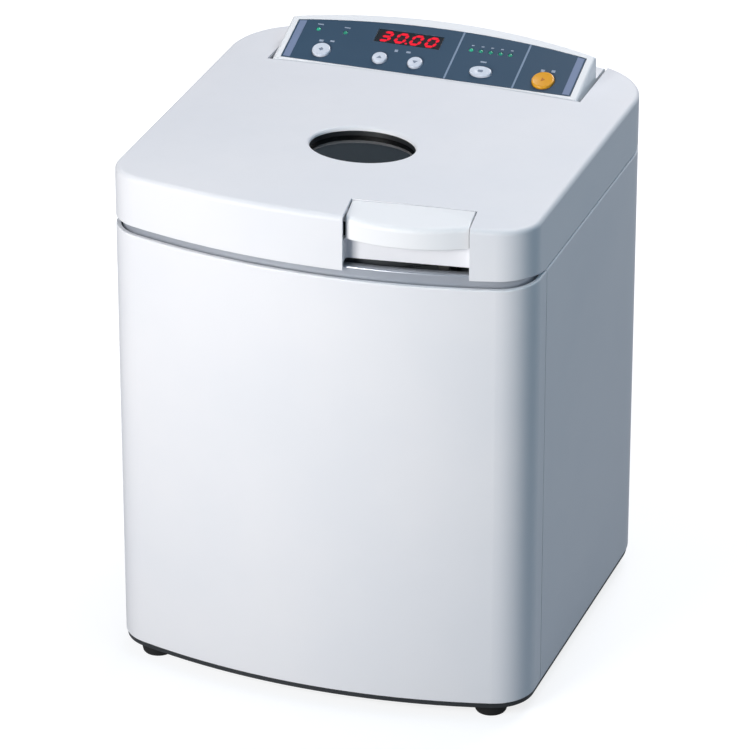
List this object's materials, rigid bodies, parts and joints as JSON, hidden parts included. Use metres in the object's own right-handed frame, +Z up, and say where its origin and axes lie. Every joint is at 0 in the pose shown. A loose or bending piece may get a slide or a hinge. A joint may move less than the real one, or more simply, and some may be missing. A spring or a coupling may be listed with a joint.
{
  "type": "dental impression mixer",
  "caption": "Bench-top planetary mixer for dental impression material: white case, hinged lid with oval window and lift handle, sloping control console, tilted spinning cup holder inside.",
  "frame": {"origin": "on the bench, under the middle of the case", "axes": "+Z up, front towards -Y, the console at +Y, +X to the right as seen from the front"},
  "size_m": [0.3, 0.32, 0.39],
  "materials": {
    "front_white": "satin moulded plastic",
    "cover_white": "semi-gloss powder paint",
    "lid_white": "smooth moulded plastic",
    "console_white": "satin moulded plastic",
    "overlay_blue": "printed film",
    "silver_trim": "satin silver paint",
    "liner_grey": "vacuum-formed plastic",
    "dark_plastic": "fine textured plastic",
    "rubber_black": "matt rubber",
    "seal_grey": "soft foam rubber",
    "clear_pane": "clear tinted pane",
    "stainless": "spun and brushed",
    "zinc_steel": "zinc plated",
    "ground_steel": "ground and polished",
    "cast_aluminium": "machined and bead blasted",
    "weight_iron": "machined and blackened",
    "dark_metal": "dark grey powder paint",
    "motor_paint": "black enamel",
    "belt_rubber": "smooth belt",
    "round_belt": "smooth green polyurethane",
    "cup_plastic": "smooth moulded plastic",
    "button_white": "smooth cap",
    "button_orange": "smooth cap",
    "lamp_green": "clear green lens",
    "display_black": "smoked window",
    "board_green": "lacquered laminate",
    "contact_metal": "nickel plated"
  },
  "bodies": {
    "case": {"base_plate": "dark_metal", "rubber_feet": "rubber_black", "front_panel": "front_white", "side_rear_cover": "cover_white", "top_deck": "liner_grey", "silver_rim": "silver_trim", "chamber_bowl": "stainless", "hinge_brackets": "zinc_steel", "hinge_pins": "ground_steel", "latch_striker": "zinc_steel", "console_housing": "console_white", "console_overlay": "overlay_blue", "status_lamps": "lamp_green", "display_module": "display_black", "control_board": "board_green", "mount_plate": "zinc_steel", "support_posts": "zinc_steel", "rubber_isolators": "rubber_black", "bearing_housing": "cast_aluminium", "shaft_bearings": "ground_steel", "motor": "motor_paint", "drive_belt": "belt_rubber", "sun_pulley": "cast_aluminium", "rear_panel": "zinc_steel", "power_inlet": "dark_plastic", "inlet_pins": "contact_metal", "switch_frame": "dark_plastic", "case_screws": "zinc_steel"},
    "lid": {"lid_shell": "lid_white", "lid_liner": "liner_grey", "lid_seal": "seal_grey", "window_glass": "clear_pane", "window_shroud": "dark_plastic", "hinge_arms": "zinc_steel", "handle_pin": "ground_steel", "handle_pocket": "lid_white"},
    "handle": {"handle_paddle": "lid_white", "latch_hook": "zinc_steel"},
    "rotor": {"rotor_arm": "cast_aluminium", "main_shaft": "ground_steel", "shaft_pulley": "cast_aluminium", "rotor_fasteners": "zinc_steel", "counterweight": "weight_iron", "holder_bearings": "ground_steel", "guide_pins": "ground_steel", "rotor_belt": "round_belt"},
    "cup_carrier": {"cup_holder": "cast_aluminium", "cup_adapter": "cup_plastic", "holder_spindle": "ground_steel", "holder_pulley": "cast_aluminium"},
    "guide_roller_front": {"guide_roller_front": "cast_aluminium"},
    "guide_roller_rear": {"guide_roller_rear": "cast_aluminium"},
    "motor_rotor": {"motor_shaft": "ground_steel", "motor_pulley": "cast_aluminium"},
    "mode_button": {"mode_button": "button_white"},
    "up_button": {"up_button": "button_white"},
    "down_button": {"down_button": "button_white"},
    "select_button": {"select_button": "button_white"},
    "start_button": {"start_button": "button_orange"},
    "switch_rocker": {"switch_rocker": "dark_plastic"}
  },
  "joints": [
    {"name": "lid_hinge", "type": "hinge", "parent": "case", "child": "lid", "pos_m": [0, 0.134, 0.3445], "axis": [-1, 0, 0], "range_deg": [0, 70]},
    {"name": "handle_lift", "type": "hinge", "parent": "lid", "child": "handle", "pos_m": [0.06682, -0.13617, 0.3655], "axis": [-0.9895, -0.1444, 0], "range_deg": [0, 16], "stiffness_Nm_per_rad": 0.12, "springref_deg": -20.05},
    {"name": "rotor_spin", "type": "hinge", "parent": "case", "child": "rotor", "pos_m": [0, -0.044, 0.19], "axis": [0, 0, 1], "continuous": true},
    {"name": "holder_spin", "type": "hinge", "parent": "rotor", "child": "cup_carrier", "pos_m": [0.038, -0.044, 0.2715], "axis": [-0.7071, 0, 0.7071], "continuous": true},
    {"name": "motor_spin", "type": "hinge", "parent": "case", "child": "motor_rotor", "pos_m": [0, 0.094, 0.15], "axis": [0, 0, 1], "continuous": true},
    {"name": "guide_roller_front_spin", "type": "hinge", "parent": "rotor", "child": "guide_roller_front", "pos_m": [0.02393, -0.0647, 0.21593], "axis": [-0.4148, -0.8313, 0.3701], "continuous": true},
    {"name": "guide_roller_rear_spin", "type": "hinge", "parent": "rotor", "child": "guide_roller_rear", "pos_m": [0.02393, -0.0233, 0.21593], "axis": [0.4148, -0.8313, -0.3701], "continuous": true},
    {"name": "mode_press", "type": "slide", "parent": "case", "child": "mode_button", "axis": [0, 0.342, -0.9397], "range_m": [0, 0.0008], "stiffness_N_per_m": 600, "springref_m": -0.001},
    {"name": "up_press", "type": "slide", "parent": "case", "child": "up_button", "axis": [0, 0.342, -0.9397], "range_m": [0, 0.0008], "stiffness_N_per_m": 600, "springref_m": -0.001},
    {"name": "down_press", "type": "slide", "parent": "case", "child": "down_button", "axis": [0, 0.342, -0.9397], "range_m": [0, 0.0008], "stiffness_N_per_m": 600, "springref_m": -0.001},
    {"name": "select_press", "type": "slide", "parent": "case", "child": "select_button", "axis": [0, 0.342, -0.9397], "range_m": [0, 0.0008], "stiffness_N_per_m": 600, "springref_m": -0.001},
    {"name": "start_press", "type": "slide", "parent": "case", "child": "start_button", "axis": [0, 0.342, -0.9397], "range_m": [0, 0.0008], "stiffness_N_per_m": 600, "springref_m": -0.001},
    {"name": "switch_rock", "type": "hinge", "parent": "case", "child": "switch_rocker", "pos_m": [0.052, 0.1445, 0.112], "axis": [-1, 0, 0], "range_deg": [0, 18]}
  ],
  "couplings": [
    {"joint": "holder_spin", "follows": "rotor_spin", "ratio": -0.4},
    {"joint": "motor_spin", "follows": "rotor_spin", "ratio": 2.5},
    {"joint": "guide_roller_front_spin", "follows": "rotor_spin", "ratio": -1.35},
    {"joint": "guide_roller_rear_spin", "follows": "rotor_spin", "ratio": 1.35}
  ]
}
